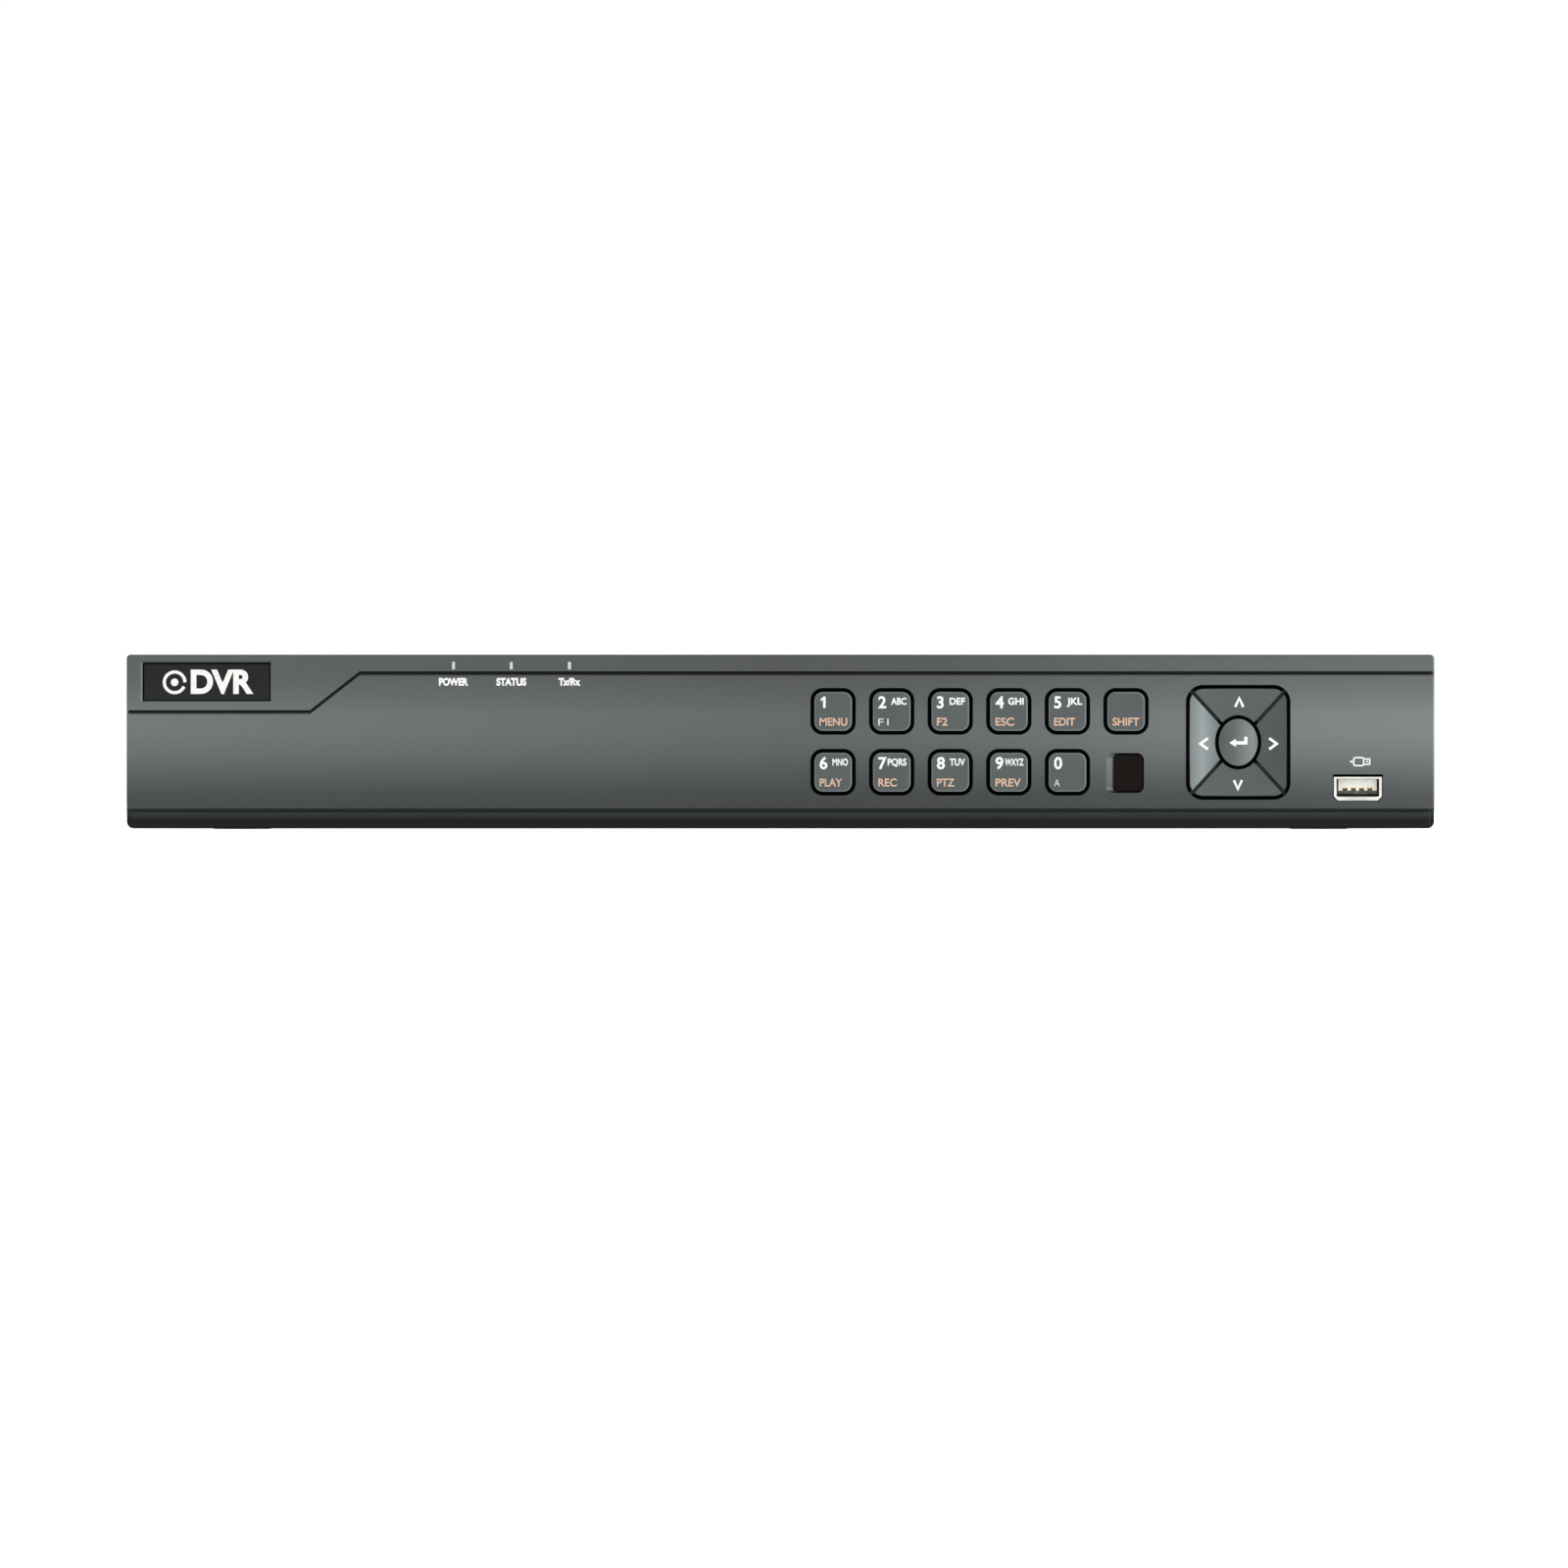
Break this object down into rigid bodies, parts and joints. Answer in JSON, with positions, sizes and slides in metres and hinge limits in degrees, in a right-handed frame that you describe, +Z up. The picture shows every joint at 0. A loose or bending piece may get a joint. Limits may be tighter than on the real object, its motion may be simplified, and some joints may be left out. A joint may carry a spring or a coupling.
{
  "type": "digital video recorder",
  "caption": "Low desktop video recorder: grey front with number keys, direction pad and USB port; rear panel of video, audio, network, alarm and power connectors.",
  "frame": {"origin": "on the floor, in the middle of the recorder's outline seen from above", "axes": "+X to the right seen from the front, +Y from the front panel to the rear panel, +Z up"},
  "size_m": [0.38, 0.32, 0.0508],
  "materials": {
    "zinc_steel": "zinc-plated sheet, satin",
    "panel_paint": "fine light grey paint, matt",
    "cover_paint": "fine black paint, matt",
    "bezel_plastic": "dark grey, satin",
    "fascia_paint": "mid grey metallic, satin",
    "badge_gloss": "black, glossy",
    "rubber_black": "matt",
    "clear_plastic": "clear, frosted",
    "ir_plastic": "deep red-black, glossy",
    "board_green": "solder mask, satin",
    "component_black": "moulded, matt",
    "nickel": "nickel plate, satin",
    "tin_plate": "tin plate, satin",
    "white_plastic": "moulded, satin",
    "blue_plastic": "moulded, satin",
    "key_plastic": "moulded, satin",
    "black_screw": "black zinc",
    "silver_screw": "bright zinc",
    "contact_brass": "bright",
    "red_plastic": "moulded, semi-gloss",
    "terminal_green": "moulded, satin",
    "lever_orange": "moulded, satin",
    "switch_black": "moulded, semi-gloss",
    "heatsink_alu": "anodised, satin",
    "drive_alu": "cast, satin",
    "cable_grey": "jacket, matt"
  },
  "bodies": {
    "case": {"base_chassis": "zinc_steel", "rear_panel": "panel_paint", "top_cover": "cover_paint", "front_bezel": "bezel_plastic", "fascia_plate": "fascia_paint", "badge_plate": "badge_gloss", "rubber_feet": "rubber_black", "indicator_light_pipes": "clear_plastic", "ir_window": "ir_plastic", "front_boards": "board_green", "keypad_components": "component_black", "usb_shells": "tin_plate", "front_usb_tongue": "white_plastic", "rear_usb_tongue": "blue_plastic", "cover_screws": "black_screw", "ground_screw": "black_screw", "panel_screws": "silver_screw", "bnc_shells": "nickel", "bnc_insulators": "white_plastic", "bnc_contacts": "contact_brass", "rca_shells": "nickel", "rca_red_insulators": "red_plastic", "rca_white_insulator": "white_plastic", "hd_port_shell": "tin_plate", "hd_port_tongue": "component_black", "vga_shell": "nickel", "vga_insert": "component_black", "vga_jackscrews": "nickel", "lan_shell": "tin_plate", "lan_insert": "component_black", "terminal_blocks": "terminal_green", "dc_socket": "switch_black", "switch_frame": "switch_black", "mainboard": "board_green", "heatsink": "heatsink_alu", "board_components": "component_black", "fan_frame": "component_black", "hard_drives": "drive_alu", "internal_cables": "cable_grey"},
    "key_1_body": {"key_1": "key_plastic"},
    "key_2_body": {"key_2": "key_plastic"},
    "key_3_body": {"key_3": "key_plastic"},
    "key_4_body": {"key_4": "key_plastic"},
    "key_5_body": {"key_5": "key_plastic"},
    "key_6_body": {"key_6": "key_plastic"},
    "key_7_body": {"key_7": "key_plastic"},
    "key_8_body": {"key_8": "key_plastic"},
    "key_9_body": {"key_9": "key_plastic"},
    "key_0_body": {"key_0": "key_plastic"},
    "key_shift_body": {"key_shift": "key_plastic"},
    "key_up_body": {"key_up": "key_plastic"},
    "key_down_body": {"key_down": "key_plastic"},
    "key_left_body": {"key_left": "key_plastic"},
    "key_right_body": {"key_right": "key_plastic"},
    "key_enter_body": {"key_enter": "key_plastic"},
    "power_rocker": {"switch_rocker": "switch_black"},
    "fan_wheel": {"fan_rotor": "component_black"},
    "serial_lever_a": {"rs485_lever_a": "lever_orange"},
    "serial_lever_b": {"rs485_lever_b": "lever_orange"},
    "alarm_lever_row": {"alarm_levers": "lever_orange"}
  },
  "joints": [
    {"name": "key_1_press", "type": "slide", "parent": "case", "child": "key_1_body", "axis": [0, 1, 0], "range_m": [0, 0.0005], "stiffness_N_per_m": 1000},
    {"name": "key_2_press", "type": "slide", "parent": "case", "child": "key_2_body", "axis": [0, 1, 0], "range_m": [0, 0.0005], "stiffness_N_per_m": 1000},
    {"name": "key_3_press", "type": "slide", "parent": "case", "child": "key_3_body", "axis": [0, 1, 0], "range_m": [0, 0.0005], "stiffness_N_per_m": 1000},
    {"name": "key_4_press", "type": "slide", "parent": "case", "child": "key_4_body", "axis": [0, 1, 0], "range_m": [0, 0.0005], "stiffness_N_per_m": 1000},
    {"name": "key_5_press", "type": "slide", "parent": "case", "child": "key_5_body", "axis": [0, 1, 0], "range_m": [0, 0.0005], "stiffness_N_per_m": 1000},
    {"name": "key_6_press", "type": "slide", "parent": "case", "child": "key_6_body", "axis": [0, 1, 0], "range_m": [0, 0.0005], "stiffness_N_per_m": 1000},
    {"name": "key_7_press", "type": "slide", "parent": "case", "child": "key_7_body", "axis": [0, 1, 0], "range_m": [0, 0.0005], "stiffness_N_per_m": 1000},
    {"name": "key_8_press", "type": "slide", "parent": "case", "child": "key_8_body", "axis": [0, 1, 0], "range_m": [0, 0.0005], "stiffness_N_per_m": 1000},
    {"name": "key_9_press", "type": "slide", "parent": "case", "child": "key_9_body", "axis": [0, 1, 0], "range_m": [0, 0.0005], "stiffness_N_per_m": 1000},
    {"name": "key_0_press", "type": "slide", "parent": "case", "child": "key_0_body", "axis": [0, 1, 0], "range_m": [0, 0.0005], "stiffness_N_per_m": 1000},
    {"name": "key_shift_press", "type": "slide", "parent": "case", "child": "key_shift_body", "axis": [0, 1, 0], "range_m": [0, 0.0005], "stiffness_N_per_m": 1000},
    {"name": "key_up_press", "type": "slide", "parent": "case", "child": "key_up_body", "axis": [0, 1, 0], "range_m": [0, 0.0005], "stiffness_N_per_m": 1000},
    {"name": "key_down_press", "type": "slide", "parent": "case", "child": "key_down_body", "axis": [0, 1, 0], "range_m": [0, 0.0005], "stiffness_N_per_m": 1000},
    {"name": "key_left_press", "type": "slide", "parent": "case", "child": "key_left_body", "axis": [0, 1, 0], "range_m": [0, 0.0005], "stiffness_N_per_m": 1000},
    {"name": "key_right_press", "type": "slide", "parent": "case", "child": "key_right_body", "axis": [0, 1, 0], "range_m": [0, 0.0005], "stiffness_N_per_m": 1000},
    {"name": "key_enter_press", "type": "slide", "parent": "case", "child": "key_enter_body", "axis": [0, 1, 0], "range_m": [0, 0.0005], "stiffness_N_per_m": 1000},
    {"name": "power_rocker_tilt", "type": "hinge", "parent": "case", "child": "power_rocker", "pos_m": [-0.11315, 0.1465, 0.0331], "axis": [0, 0, 1], "range_deg": [0, 20]},
    {"name": "fan_spin", "type": "hinge", "parent": "case", "child": "fan_wheel", "pos_m": [-0.1877, 0.036, 0.0274], "axis": [1, 0, 0], "continuous": true},
    {"name": "serial_lever_a_press", "type": "slide", "parent": "case", "child": "serial_lever_a", "axis": [0, -1, 0], "range_m": [0, 0.0008], "stiffness_N_per_m": 1500},
    {"name": "serial_lever_b_press", "type": "slide", "parent": "case", "child": "serial_lever_b", "axis": [0, -1, 0], "range_m": [0, 0.0008], "stiffness_N_per_m": 1500},
    {"name": "alarm_lever_row_press", "type": "slide", "parent": "case", "child": "alarm_lever_row", "axis": [0, -1, 0], "range_m": [0, 0.0008], "stiffness_N_per_m": 1500}
  ]
}
